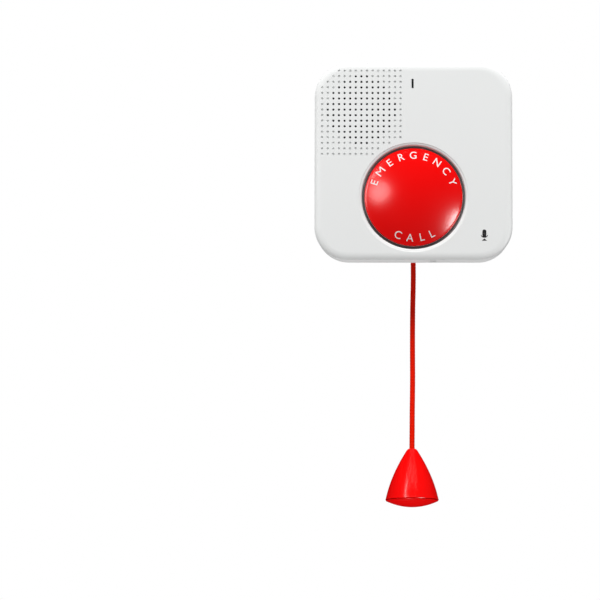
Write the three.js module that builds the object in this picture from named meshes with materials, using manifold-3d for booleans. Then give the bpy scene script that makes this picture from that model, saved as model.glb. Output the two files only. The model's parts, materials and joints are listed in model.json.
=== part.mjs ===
// Wall-mounted call station with a palm button, a speaker grille and a pull cord.
// Millimetres. The face frame has X to the right, Y back from the front face and Z up the face.
// The finished part has +Z up and the wall at Y = 0, with its origin in the middle of the wall plate.

import * as THREE from "three";
import { mergeVertices } from "three/addons/utils/BufferGeometryUtils.js";
import Module from "manifold-3d";

const wasm = await Module();
wasm.setup();

// Driving dimensions

const gap = 0.3; // clearance between pieces that touch or slide
const quarterTurn = Math.PI / 2;
const overrun = 1; // how far a cutter runs past the face it opens
const bite = 0.1; // how far a shank reaches into its head
const weldDistance = 1e-4; // points closer than this are one
const roundMiddle = 0.3; // where the middle of a rounded edge lies, as a share of its radius
const facets = { bore: 8, plain: 12, stem: 16, round: 24 }; // sides of turned forms, by size
const cornerSteps = 6; // steps round the corner of an outline
const plateSteps = 4; // the same on a thin plate
const tilt = THREE.MathUtils.degToRad(10); // the face looks down by this much

const shell = {
  width: 130, height: 130, depth: 19.75, cornerRadius: 22, wall: 2.4, sideWall: 3,
  rollWidth: 5.2, rollDepth: 1.7, rearRoll: 1.4, ledgeWidth: 1.6, ledgeDepth: 1.6,
};
const halfWidth = shell.width / 2;
const halfHeight = shell.height / 2;
const grille = {
  x: 30.7 - halfWidth, z: halfHeight - 30.7, pitch: 3.68, holeRadius: 0.75, reach: 6.2, sides: 6, wall: 1,
};
const button = {
  z: 41.4 - halfHeight, radius: 32.2, crown: 5.2, edge: -0.2, edgeRound: 0.7, wall: 2.2, skirt: 14.2,
  flangeWidth: 1.6, flangeThickness: 1.2, travel: 2.5, sides: 40, crownSteps: 4, edgeIn: 0.2, edgeDrop: 0.3,
};
const collar = { leadIn: 2, leadDepth: 1.3, wall: 2, depth: 12 };
const leadInCurve = [[1, 0], [0.55, 0.13], [0.2, 0.45], [0, 1]]; // shares of its width and its depth
const trimRing = { width: 1.3, front: 1.6, flange: 1.2 };
const carrier = { front: 9.6, thickness: 2, stemRadius: 3, ribWidth: 1.6, ribLength: 23, ribDepth: 3 };
const housing = {
  halfX: halfWidth - 5.7, halfZ: halfHeight - 6.2, slopeX: 0.31, slopeZ: 0.53, back: 51.5, wall: 2.2,
  cornerRadius: 20, cornerShrink: 0.26, backRound: 2.4, flange: 2.2,
};
const seal = { width: 1.4, thickness: 1.6 };
const cradle = {
  rimDepth: 47.8, band: 6.8, wall: 2, seatGap: 0.4, bandSlope: 0.06, stepIn: 2.6, stepDepth: 1.6,
  topStepIn: 6.4, lowerSlope: 0.12, topSlope: 0.97, bottom: 4.2 - halfHeight, bottomWallDepth: 57,
  plate: 2.5, topRadius: 16, bottomRadius: 20,
};
const tab = {
  halfWidth: 16.5, top: 24.7, thickness: 2.4, webThickness: 2.4, webGap: 0.6, cornerRadius: 3,
  wallRadius: 0.5, slotClearance: 1.15,
};
const puller = {
  y: 39.3, discRadius: 7.25, recess: 1, discThickness: 8, stemRadius: 3.2, headRadius: 6.2,
  headThickness: 3, stemLength: 13.4, travel: 5, armLength: 13.4, armWidth: 4,
};
const guide = { wall: 1.9, floor: 2.2, springPocket: 5.8, pocketDepth: 4.6 };
const hook = { x: halfWidth - 27, z: 10, width: 6, thickness: 4, lip: 4, lipThickness: 2.6, slotGap: 1 };
const wallScrew = { x: 30, z: 25, radius: 2.3, headRadius: 4.4, landing: cradle.plate / 3 };
const cableNotch = { radius: 2.7, height: 4, z: 2.3, wallLength: 16 };
const speaker = {
  rimRadius: 24, gasketWidth: 2.4, gasketThickness: 1.5, clothThickness: 0.4, rimThickness: 1.4,
  basketDepth: 9, basketRadius: 13, basketWall: 1.2, coneRadius: 20.4, coneWall: 0.7, coilRadius: 6,
  coilDrop: 2.6, capRise: 0.8, rollWidth: 1.7, rollRise: 1, magnetRadius: 13.5, magnetThickness: 6,
};
const board = {
  halfX: halfWidth - 29.4, bottom: 13 - halfHeight, top: halfHeight - 12.8, front: 26, thickness: 1.6,
  cornerRadius: 4,
};
const post = { radius: 2.8, bore: 1.6 };
const boardPosts = [
  [halfWidth - 33, halfHeight - 19],
  [-5, halfHeight - 21],
  [33 - halfWidth, 17.5 - halfHeight],
  [halfWidth - 33, 17.5 - halfHeight],
];
const boardScrew = { radius: 1.3, length: 8, headRadius: 2.4, headThickness: 1.5 };
const column = { radius: 4.6, counterbore: 3.1, seat: 39.7, shellRadius: 3.6, clearance: 1.9 };
const caseColumns = [
  [halfWidth - 24, halfHeight - 32],
  [24 - halfWidth, 32 - halfHeight],
  [halfWidth - 24, 32 - halfHeight],
  [21 - halfWidth, 4],
];
const caseScrew = { radius: 1.5, tip: 9, headRadius: 2.7, headThickness: 2.4 };
const sideScrew = {
  y: 8.6, z: 0, bottomX: 13, bottomY: 7, recessRadius: 2.5, recessDepth: 2.6, bossRadius: 4.2,
  headRadius: 2.1, headThickness: 1.1, radius: 1.2, length: 3.2, bossDepth: 2.6,
};
const lightPipe = {
  x: -0.6, z: halfHeight - 13.4, width: 1, height: 5.8, tailZ: halfHeight - 14.8, tailHeight: 2.8,
  recess: 0.15,
};
const lightFlange = { margin: 1.4, thickness: 1 };
const led = { width: 2, height: 1.6, thickness: 1.1 };
const microphone = {
  x: halfWidth - 18.6, z: 17.4 - halfHeight, port: 0.6, radius: 3, thickness: 2.8,
  bootWall: 1.4, bootFloor: 1, ringWall: 1.2,
};
const tactSwitch = { size: 6, thickness: 3.2, capRadius: 1.7, capHeight: 1.3 };
const coilWire = { radius: 0.45, sides: 4, stepsPerTurn: 10 };
const buttonSpring = { radius: 6.5, turns: 5 };
const pullSpring = { radius: 4.5, turns: 5 };
const battery = {
  cells: 3, radius: 7.1, halfLength: 25, pitch: 15.2, z: 15, wall: 1.5, contact: 1.1, endRoom: 2.2,
  contactShare: 0.7, contactMargin: 2, sides: 20,
};
const radio = { x: 20, z: -16, width: 24, height: 20, thickness: 2.6 };
const terminal = { x: -25, z: -16, width: 16, height: 10, thickness: 9 };
const grommet = { radius: 5, bore: 2.5, lip: 1.4, lipThickness: 1.2, sides: 14 };
const pullSwitch = { offset: 8.2, width: 20, thickness: 6.4, height: 10, shelf: 2.5 };
const cord = { radius: 1.75, sides: 8, step: 7 };
const knot = { radius: 2.9, flatness: 0.9, sides: 10, rings: 8 };
const handle = {
  radius: 17.5, topRadius: 2.9, height: 33.7, bellyRadius: 13.9, bellyDepth: 16.7, wall: 1.9,
  roof: 5, roofRound: 0.8, mouth: 2, profileSteps: 6, sides: 28,
  capDepth: 4.6, capSteps: [0.35, 0.65, 0.88], capInset: 0.2, capRound: 0.3, lip: 0.4, floor: 1.2,
  spigot: 3, spigotWall: 2.2, spigotTaper: 1,
};

// The cord's route below the plunger, chosen by hand, in the finished part's frame.
// X, Y and Z of each point, with Z measured down from the plunger's face.
const cordDrop = [
  [0, 0.42, -2.6],
  [0.02, 0.62, -6.4],
  [0.05, 0.6, -12],
  [-0.05, 0.42, -21],
  [-0.3, 0.16, -32],
  [-0.46, -0.08, -44],
  [-0.55, -0.28, -57],
  [-0.54, -0.46, -70],
  [-0.5, -0.6, -83],
  [-0.63, -0.7, -96],
  [-0.8, -0.78, -108],
  [-0.86, -0.84, -119],
  [-0.94, -0.86, -127],
];
const handleX = -0.95;
const handleTop = -131.4; // top of the handle, below the plunger's face
const handleY = -0.86; // the handle's axis, off the plunger's, towards the room

// Values that follow from the driving dimensions

const buttonHole = button.radius + gap + trimRing.width + gap;
const collarRadius = buttonHole + collar.wall;
const ringBack = collar.depth + gap + trimRing.flange;
const wallOffset = cradle.bottomWallDepth * Math.cos(tilt) - cradle.bottom * Math.sin(tilt);
const wallDepthAt = (z) => (wallOffset + z * Math.sin(tilt)) / Math.cos(tilt);
const heightOnWall = (z) => wallDepthAt(z) * Math.sin(tilt) + z * Math.cos(tilt);
const housingFront = shell.depth + gap;
const housingHalfX = (y) => housing.halfX - housing.slopeX * (y - housingFront);
const housingHalfZ = (y) => housing.halfZ - housing.slopeZ * (y - housingFront);
const rimHalfX = housingHalfX(cradle.rimDepth) + cradle.seatGap + cradle.wall;
const rimTop = housingHalfZ(cradle.rimDepth) + cradle.seatGap + cradle.wall;
const bandX = rimHalfX - cradle.bandSlope * cradle.band;
const bandTop = rimTop - housing.slopeZ * cradle.band;
const bandBack = cradle.rimDepth + cradle.band;
const lowerStart = bandBack + cradle.stepDepth;
const lowerX = bandX - cradle.stepIn;
const lowerTop = bandTop - cradle.topStepIn;
const pastWall = cradle.bottomWallDepth + 2 * overrun;
const wallTop = (lowerTop - cradle.topSlope * (wallDepthAt(0) - lowerStart))
  / (1 + cradle.topSlope * Math.tan(tilt));
const middleHeight = (heightOnWall(cradle.bottom) + heightOnWall(wallTop)) / 2;
const ledgeBack = shell.depth - housing.flange - gap - seal.thickness - gap;
const flangeFront = shell.depth - housing.flange;
const housingInnerBack = housing.back - housing.wall;
const rimInset = shell.sideWall + gap;
const boardBack = board.front + board.thickness;
const bootPocket = microphone.radius + microphone.bootWall + 2 * gap;
const buttonBack = button.skirt + button.flangeThickness;
const discFront = cradle.bottom + puller.recess;
const discTop = discFront + puller.discThickness;
const guideFloor = discTop + gap;
const pocketFloor = guideFloor + guide.floor;
const headUnder = discTop + puller.stemLength;
const headTop = headUnder + puller.headThickness;
const guideRadius = puller.discRadius + gap + guide.wall;
const cellY = housingInnerBack - gap - battery.wall - battery.radius;
const holderHalfX = battery.halfLength + battery.endRoom + battery.wall;
const holderHalfZ = ((battery.cells - 1) * battery.pitch) / 2 + battery.radius + gap + battery.wall;
const doorHalfX = holderHalfX - 2 * battery.wall;
const doorHalfZ = holderHalfZ - 2 * battery.wall;

// Colours from the photograph

const finish = (color, roughness, metalness = 0) =>
  new THREE.MeshStandardMaterial({ color, roughness, metalness });
const whitePlastic = finish(0xe6e7e6, 0.35);
const greyPlastic = finish(0xc9cbca, 0.45);
const redPlastic = finish(0xd90b0b, 0.22);
const redCord = finish(0xb51806, 0.85);
const ringPlastic = finish(0x4a4f4f, 0.4);
const darkRubber = finish(0x26282a, 0.8);
const blackPlastic = finish(0x1b1c1d, 0.5);
const clothBlack = finish(0x101112, 0.95);
const boardGreen = finish(0x1d5a34, 0.55);
const steel = finish(0xb7babd, 0.3, 1);
const clearPlastic = finish(0x3a3d3f, 0.15);
const naturalPlastic = finish(0xdedcd2, 0.5);
const cellJacket = finish(0x2f5f9a, 0.4);
const paperCone = finish(0x2b2b2b, 0.9);

// Solids

const range = (count) => Array.from({ length: count }, (_, index) => index);

function signedVolume(position, index) {
  const [a, b, c] = [new THREE.Vector3(), new THREE.Vector3(), new THREE.Vector3()];
  let volume = 0;
  for (let i = 0; i < index.length; i += 3) {
    a.fromBufferAttribute(position, index[i]);
    b.fromBufferAttribute(position, index[i + 1]);
    c.fromBufferAttribute(position, index[i + 2]);
    volume += a.dot(b.cross(c)) / 6;
  }
  return volume;
}

// A closed geometry as a solid, with its faces turned outwards.
function solid(geometry) {
  const bare = geometry.clone();
  bare.deleteAttribute("normal");
  bare.deleteAttribute("uv");
  const welded = mergeVertices(bare, weldDistance);
  const index = Array.from(welded.index.array);
  const faces = range(index.length / 3).map((i) => index.slice(3 * i, 3 * i + 3));
  const kept = faces.filter(([a, b, c]) => a !== b && b !== c && c !== a);
  const facing = signedVolume(welded.attributes.position, kept.flat()) < 0 ? -1 : 1;
  const triVerts = new Uint32Array(kept.flatMap(([a, b, c]) => (facing < 0 ? [a, c, b] : [a, b, c])));
  const vertProperties = welded.attributes.position.array;
  return new wasm.Manifold(new wasm.Mesh({ numProp: 3, vertProperties, triVerts }));
}

const join = (...parts) => parts.reduce((sum, part) => sum.add(part));
const cut = (base, ...cutters) => cutters.reduce((rest, cutter) => rest.subtract(cutter), base);

function geometryOf(body) {
  const { vertProperties, triVerts, numProp } = body.getMesh();
  const geometry = new THREE.BufferGeometry();
  const points = range(vertProperties.length / numProp).flatMap((i) =>
    Array.from(vertProperties.slice(numProp * i, numProp * i + 3)));
  geometry.setAttribute("position", new THREE.Float32BufferAttribute(points, 3));
  geometry.setIndex(Array.from(triVerts));
  geometry.computeVertexNormals();
  return geometry;
}

function box([x0, x1], [y0, y1], [z0, z1]) {
  const geometry = new THREE.BoxGeometry(x1 - x0, y1 - y0, z1 - z0);
  return solid(geometry.translate((x0 + x1) / 2, (y0 + y1) / 2, (z0 + z1) / 2));
}

const around = (middle, half) => [middle - half, middle + half];

// A rod from front to back of the face frame.
function rod(radius, y0, y1, x, z, sides = facets.plain) {
  const geometry = new THREE.CylinderGeometry(radius, radius, y1 - y0, sides);
  return solid(geometry.translate(x, (y0 + y1) / 2, z));
}

function rodAlongX(radius, x0, x1, y, z, sides = facets.plain) {
  const geometry = new THREE.CylinderGeometry(radius, radius, x1 - x0, sides);
  return solid(geometry.rotateZ(quarterTurn).translate((x0 + x1) / 2, y, z));
}

function rodAlongZ(radius, z0, z1, x, y, sides = facets.plain) {
  const geometry = new THREE.CylinderGeometry(radius, radius, z1 - z0, sides);
  return solid(geometry.rotateX(quarterTurn).translate(x, y, (z0 + z1) / 2));
}

// A profile of radius and depth, turned about a line from front to back.
function turned(profile, x, z, sides) {
  const points = profile.map(([radius, y]) => new THREE.Vector2(radius, y));
  return solid(new THREE.LatheGeometry(points, sides).translate(x, 0, z));
}

// A profile of radius and height, turned about an upright line.
function turnedUpright(profile, x, y, sides) {
  const points = profile.map(([radius, z]) => new THREE.Vector2(radius, z));
  return solid(new THREE.LatheGeometry(points, sides).rotateX(quarterTurn).translate(x, y, 0));
}

// A rectangle with rounded corners, as points of X and Z.
function outline({ halfX, top, bottom, topRadius, bottomRadius = topRadius }, steps = cornerSteps) {
  const corners = [
    [halfX - topRadius, top - topRadius, topRadius],
    [topRadius - halfX, top - topRadius, topRadius],
    [bottomRadius - halfX, bottom + bottomRadius, bottomRadius],
    [halfX - bottomRadius, bottom + bottomRadius, bottomRadius],
  ];
  return corners.flatMap(([x, z, radius], corner) =>
    range(steps + 1).map((step) => {
      const angle = (corner + step / steps) * quarterTurn;
      return new THREE.Vector2(x + radius * Math.cos(angle), z + radius * Math.sin(angle));
    }));
}

// A solid through a row of outlines, each at its own depth.
function loft(sections, steps) {
  const rings = sections.map((section) => outline(section, steps));
  const count = rings[0].length;
  const positions = rings.flatMap((ring, k) => ring.flatMap((p) => [p.x, sections[k].y, p.y]));
  const sides = range(rings.length - 1).flatMap((k) =>
    range(count).flatMap((i) => {
      const [a, b] = [k * count + i, k * count + ((i + 1) % count)];
      return [a, b, a + count, b, b + count, a + count];
    }));
  const last = (rings.length - 1) * count;
  const capFaces = (ring) => THREE.ShapeUtils.triangulateShape(ring, []);
  const front = capFaces(rings[0]).flatMap(([a, b, c]) => [a, c, b]);
  const back = capFaces(rings.at(-1)).flatMap((face) => face.map((i) => i + last));
  const geometry = new THREE.BufferGeometry();
  geometry.setAttribute("position", new THREE.Float32BufferAttribute(positions, 3));
  geometry.setIndex([...sides, ...front, ...back]);
  return solid(geometry);
}

const square = (y, halfX, halfZ, radius) => ({ y, halfX, top: halfZ, bottom: -halfZ, topRadius: radius });

// A plate with rounded corners between two depths.
const plate = (y0, y1, halfX, top, bottom, radius) =>
  loft([y0, y1].map((y) => ({ y, halfX, top, bottom, topRadius: radius })), plateSteps);

// A round wire wound about the Z axis, from its low end to its high end.
function coil(radius, low, high, turns) {
  class Helix extends THREE.Curve {
    getPoint(t, target = new THREE.Vector3()) {
      const angle = 2 * Math.PI * turns * t;
      const rise = low + coilWire.radius + (high - low - 2 * coilWire.radius) * t;
      return target.set(radius * Math.cos(angle), radius * Math.sin(angle), rise);
    }
  }
  const section = new THREE.Shape().absarc(0, 0, coilWire.radius, 0, 2 * Math.PI);
  return new THREE.ExtrudeGeometry(section, {
    steps: turns * coilWire.stepsPerTurn,
    curveSegments: coilWire.sides / 2,
    extrudePath: new Helix(),
  });
}

const faceGroup = new THREE.Group();
faceGroup.rotation.x = tilt;
faceGroup.position.set(0, -wallOffset, -middleHeight);
faceGroup.updateMatrixWorld();
const callStation = new THREE.Group();
callStation.add(faceGroup);

function piece(group, name, body, material) {
  const mesh = new THREE.Mesh(geometryOf(body), material);
  mesh.name = name;
  group.add(mesh);
}

const onFace = (name, body, material) => piece(faceGroup, name, body, material);
const hanging = (name, body, material) => piece(callStation, name, body, material);

// Front shell

function roll(progress) {
  // a quarter of an ellipse, from the flat face to the side
  const angle = progress * quarterTurn;
  return { inset: shell.rollWidth * (1 - Math.sin(angle)), y: shell.rollDepth * (1 - Math.cos(angle)) };
}

const shellSection = (y, inset) =>
  square(y, halfWidth - inset, halfHeight - inset, shell.cornerRadius - inset);

// The shell's outline between two depths, drawn in from its side.
const shellBlock = (y0, y1, inset) => loft([shellSection(y0, inset), shellSection(y1, inset)]);

function throughHoles() {
  const steps = range(2 * Math.floor(grille.reach) + 1).map((k) => k - Math.floor(grille.reach));
  const places = steps.flatMap((column) => steps.map((row) => [column, row]));
  return places
    .filter(([column, row]) => Math.hypot(column, row) <= grille.reach)
    .map(([column, row]) =>
      rod(grille.holeRadius, -overrun, shell.wall + overrun, grille.x + column * grille.pitch,
        grille.z + row * grille.pitch, grille.sides));
}

function buttonOpening() {
  const leadIn = leadInCurve.map(([across, down]) =>
    [buttonHole + collar.leadIn * across, collar.leadDepth * down]);
  return turned([
    [0, -overrun],
    [buttonHole + collar.leadIn + overrun, -overrun],
    ...leadIn,
    [buttonHole, collar.depth + overrun],
    [0, collar.depth + overrun],
  ], 0, button.z, button.sides);
}

function shellSkin() {
  const front = [0, 0.3, 0.6, 0.85, 1].map((progress) => roll(progress));
  return loft([
    ...front.map(({ inset, y }) => shellSection(y, inset)),
    shellSection(shell.depth - shell.rearRoll, 0),
    shellSection(shell.depth - shell.rearRoll * roundMiddle, shell.rearRoll * roundMiddle),
    shellSection(shell.depth, shell.rearRoll),
  ]);
}

function frontShell() {
  const ledgeFront = ledgeBack - shell.ledgeDepth;
  const inside = shell.wall - gap;
  const sideFace = halfWidth - shell.sideWall;
  const bottomFace = shell.sideWall - halfHeight;
  const body = join(
    cut(shellSkin(), shellBlock(shell.wall, shell.depth + overrun, shell.sideWall)),
    cut(
      shellBlock(ledgeFront, ledgeBack, shell.sideWall - gap),
      shellBlock(ledgeFront - overrun, ledgeBack + overrun, shell.sideWall + shell.ledgeWidth),
    ),
    rod(collarRadius, inside, collar.depth, 0, button.z, button.sides),
    ...boardPosts.map(([x, z]) => rod(post.radius, inside, board.front - gap, x, z)),
    ...caseColumns.map(([x, z]) => rod(column.shellRadius, inside, housingFront - gap, x, z)),
    rod(bootPocket + microphone.ringWall, inside, shell.wall + 2 * gap + microphone.thickness,
      microphone.x, microphone.z),
    rodAlongX(sideScrew.bossRadius, sideFace - sideScrew.bossDepth, sideFace + gap,
      sideScrew.y, sideScrew.z),
    rodAlongZ(sideScrew.bossRadius, bottomFace - gap, bottomFace + sideScrew.bossDepth,
      sideScrew.bottomX, sideScrew.bottomY),
  );
  const screwEnd = sideScrew.recessDepth + sideScrew.length + gap;
  const { bore } = facets;
  return cut(
    body,
    ...throughHoles(),
    rod(speaker.rimRadius + gap, grille.wall, shell.wall + overrun, grille.x, grille.z, facets.round),
    buttonOpening(),
    box(around(lightPipe.x, lightPipe.width / 2 + gap), [-overrun, shell.wall + overrun],
      around(lightPipe.z, lightPipe.height / 2 + gap)),
    rod(microphone.port, -overrun, shell.wall + overrun, microphone.x, microphone.z, bore),
    rod(bootPocket, shell.wall, shell.depth, microphone.x, microphone.z),
    ...boardPosts.map(([x, z]) =>
      rod(post.bore, board.front - gap - boardScrew.length, board.front, x, z, bore)),
    ...caseColumns.map(([x, z]) => rod(column.clearance, caseScrew.tip - gap, housingFront, x, z, bore)),
    rodAlongX(sideScrew.recessRadius, halfWidth - sideScrew.recessDepth, halfWidth + overrun,
      sideScrew.y, sideScrew.z),
    rodAlongX(sideScrew.radius + gap, halfWidth - screwEnd, halfWidth, sideScrew.y, sideScrew.z, bore),
    rodAlongZ(sideScrew.recessRadius, -halfHeight - overrun, sideScrew.recessDepth - halfHeight,
      sideScrew.bottomX, sideScrew.bottomY),
    rodAlongZ(sideScrew.radius + gap, -halfHeight, screwEnd - halfHeight,
      sideScrew.bottomX, sideScrew.bottomY, bore),
  );
}
onFace("front_shell", frontShell(), whitePlastic);

// Call button: dome, carrier, trim ring, spring and switch

function domeProfile() {
  const rise = button.crown;
  const reach = button.radius - button.edgeRound;
  const ball = (reach * reach + rise * rise) / (2 * rise);
  const crownAt = (radius) => button.edge - rise + ball - Math.sqrt(ball * ball - radius * radius);
  return range(button.crownSteps + 1)
    .map((k) => (reach * k) / button.crownSteps)
    .map((radius) => [radius, crownAt(radius)]);
}

function buttonDome() {
  const crown = domeProfile();
  const inner = button.radius - button.wall;
  const underside = crown.filter(([radius]) => radius < inner).reverse();
  return turned([
    ...crown,
    [button.radius - button.edgeIn, button.edge + button.edgeDrop],
    [button.radius, button.edge + button.edgeRound],
    [button.radius, button.skirt],
    [button.radius + button.flangeWidth, button.skirt],
    [button.radius + button.flangeWidth, buttonBack],
    [inner, buttonBack],
    [inner, button.edge + button.wall],
    ...underside.map(([radius, y]) => [radius, y + button.wall]),
  ], 0, button.z, button.sides);
}
onFace("button_dome", buttonDome(), redPlastic);

const carrierRadius = button.radius - button.wall - gap;
const carrierBack = carrier.front + carrier.thickness;
const switchTop = board.front - gap - tactSwitch.thickness;
const stemEnd = switchTop - tactSwitch.capHeight - gap - button.travel;

function buttonCarrier() {
  const ribs = [0, 1].map((turn) => {
    const long = around(0, carrier.ribLength);
    const thin = around(0, carrier.ribWidth / 2);
    const depth = [carrier.front - carrier.ribDepth, carrierBack - gap];
    const rib = turn ? box(long, depth, thin) : box(thin, depth, long);
    return rib.translate([0, 0, button.z]);
  });
  return join(
    rod(carrierRadius, carrier.front, carrierBack, 0, button.z, button.sides),
    rod(carrier.stemRadius, carrierBack - gap, stemEnd, 0, button.z),
    ...ribs,
  );
}
onFace("button_carrier", buttonCarrier(), naturalPlastic);

const ringInner = button.radius + gap;
onFace("trim_ring", turned([
  [ringInner, trimRing.front],
  [ringInner + trimRing.width, trimRing.front],
  [ringInner + trimRing.width, collar.depth + gap],
  [collarRadius - gap, collar.depth + gap],
  [collarRadius - gap, ringBack],
  [ringInner, ringBack],
  [ringInner, trimRing.front],
], 0, button.z, button.sides), ringPlastic);

onFace("button_spring", solid(
  coil(buttonSpring.radius, carrierBack + gap, board.front - gap, buttonSpring.turns)
    .rotateX(-quarterTurn)
    .translate(0, 0, button.z)), steel);

onFace("button_switch", join(
  box(around(0, tactSwitch.size / 2), [switchTop, board.front - gap],
    around(button.z, tactSwitch.size / 2)),
  rod(tactSwitch.capRadius, switchTop - tactSwitch.capHeight, switchTop + gap, 0, button.z),
), blackPlastic);

// Speaker behind the grille

const clothFront = grille.wall + gap;
const clothBack = clothFront + speaker.clothThickness;
const gasketBack = clothBack + gap + speaker.gasketThickness;
const rimFront = gasketBack + gap;
const rimBack = rimFront + speaker.rimThickness;
const basketBack = rimFront + speaker.basketDepth;

onFace("grille_cloth",
  rod(speaker.rimRadius, clothFront, clothBack, grille.x, grille.z, facets.round), clothBlack);

onFace("speaker_gasket", cut(
  rod(speaker.rimRadius, clothBack + gap, gasketBack, grille.x, grille.z, facets.round),
  rod(speaker.rimRadius - speaker.gasketWidth, clothBack, rimFront, grille.x, grille.z, facets.round),
), darkRubber);

onFace("speaker_frame", turned([
  [speaker.coneRadius + 2 * gap, rimFront],
  [speaker.rimRadius, rimFront],
  [speaker.rimRadius, rimBack],
  [speaker.coneRadius + 2 * gap + speaker.basketWall, rimBack],
  [speaker.basketRadius, basketBack],
  [speaker.coilRadius + 2 * gap, basketBack],
  [speaker.coilRadius + 2 * gap, basketBack - speaker.basketWall],
  [speaker.basketRadius - speaker.basketWall, basketBack - speaker.basketWall],
  [speaker.coneRadius + 2 * gap, rimBack],
  [speaker.coneRadius + 2 * gap, rimFront],
], grille.x, grille.z, facets.round), steel);

const coneBack = basketBack - speaker.basketWall - gap;
const coneFront = rimFront + gap;
const coilFront = coneBack - speaker.coilDrop;
const coneFace = [
  [0, coilFront - speaker.capRise],
  [speaker.coilRadius, coilFront],
  [speaker.coneRadius - 2 * speaker.rollWidth, coneFront],
  [speaker.coneRadius - speaker.rollWidth, coneFront - speaker.rollRise],
  [speaker.coneRadius, coneFront],
];
const coneRear = coneFace.map(([radius, y]) => [radius, y + speaker.coneWall]).reverse();
onFace("speaker_cone", turned([
  ...coneFace,
  ...coneRear.filter(([radius]) => radius > speaker.coilRadius),
  [speaker.coilRadius, coilFront + 2 * speaker.coneWall],
  [speaker.coilRadius, coneBack + speaker.basketWall],
  [speaker.coilRadius - speaker.coneWall, coneBack + speaker.basketWall],
  [speaker.coilRadius - speaker.coneWall, coilFront + speaker.coneWall],
  coneRear.at(-1),
], grille.x, grille.z, facets.round), paperCone);

onFace("speaker_magnet", rod(speaker.magnetRadius, basketBack + gap,
  basketBack + gap + speaker.magnetThickness, grille.x, grille.z, facets.round), steel);

// Indicator light

onFace("light_pipe", join(
  box(around(lightPipe.x, lightPipe.width / 2), [lightPipe.recess, shell.wall + gap + bite],
    around(lightPipe.z, lightPipe.height / 2)),
  box(around(lightPipe.x, lightPipe.width / 2 + lightFlange.margin),
    [shell.wall + gap, shell.wall + gap + lightFlange.thickness],
    around(lightPipe.z, lightPipe.height / 2 + lightFlange.margin)),
  box(around(lightPipe.x, lightPipe.width / 2),
    [shell.wall + gap, board.front - gap - led.thickness - gap],
    around(lightPipe.tailZ, lightPipe.tailHeight / 2)),
), clearPlastic);

onFace("status_led", box(around(lightPipe.x, led.width / 2),
  [board.front - gap - led.thickness, board.front - gap],
  around(lightPipe.tailZ, led.height / 2)), naturalPlastic);

// Microphone in its rubber boot

const bootFront = shell.wall + gap;
const microphoneFront = bootFront + gap + microphone.bootFloor;
const microphoneBack = microphoneFront + microphone.thickness;
const bootRadius = microphone.radius + gap + microphone.bootWall;
onFace("microphone_boot", turned([
  [microphone.port + gap, bootFront],
  [bootRadius, bootFront],
  [bootRadius, microphoneBack + gap],
  [microphone.radius + gap, microphoneBack + gap],
  [microphone.radius + gap, bootFront + microphone.bootFloor],
  [microphone.port + gap, bootFront + microphone.bootFloor],
  [microphone.port + gap, bootFront],
], microphone.x, microphone.z, facets.plain), darkRubber);

onFace("microphone", rod(microphone.radius, microphoneFront, microphoneBack,
  microphone.x, microphone.z), steel);

// Main board and what sits on it

function mainBoard() {
  const sheet = plate(board.front, boardBack, board.halfX, board.top, board.bottom, board.cornerRadius);
  return cut(sheet, ...boardPosts.map(([x, z]) =>
    rod(post.bore, board.front - overrun, boardBack + overrun, x, z, facets.bore)));
}
onFace("main_board", mainBoard(), boardGreen);

boardPosts.forEach(([x, z], index) => {
  const seat = boardBack + gap;
  const head = rod(boardScrew.headRadius, seat, seat + boardScrew.headThickness, x, z, facets.bore);
  const tip = board.front - boardScrew.length + gap;
  const shank = rod(boardScrew.radius, tip, seat + bite, x, z, facets.bore);
  onFace(`board_screw_${index + 1}`, join(head, shank), steel);
});

onFace("radio_module", box(around(radio.x, radio.width / 2),
  [boardBack + gap, boardBack + gap + radio.thickness], around(radio.z, radio.height / 2)), steel);

onFace("terminal_block", box(around(terminal.x, terminal.width / 2),
  [boardBack + gap, boardBack + gap + terminal.thickness],
  around(terminal.z, terminal.height / 2)), boardGreen);

// Rear housing

function housingSection(y, inset, roundness = 0) {
  const radius = housing.cornerRadius - housing.cornerShrink * (y - housingFront) - inset - roundness;
  return square(y, housingHalfX(y) - inset, housingHalfZ(y) - inset, radius);
}

const shelf = {
  x: [pullSwitch.offset, pullSwitch.offset + pullSwitch.width],
  y: puller.y + pullSwitch.thickness / 2 + gap,
  z: headTop + gap,
};

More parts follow.
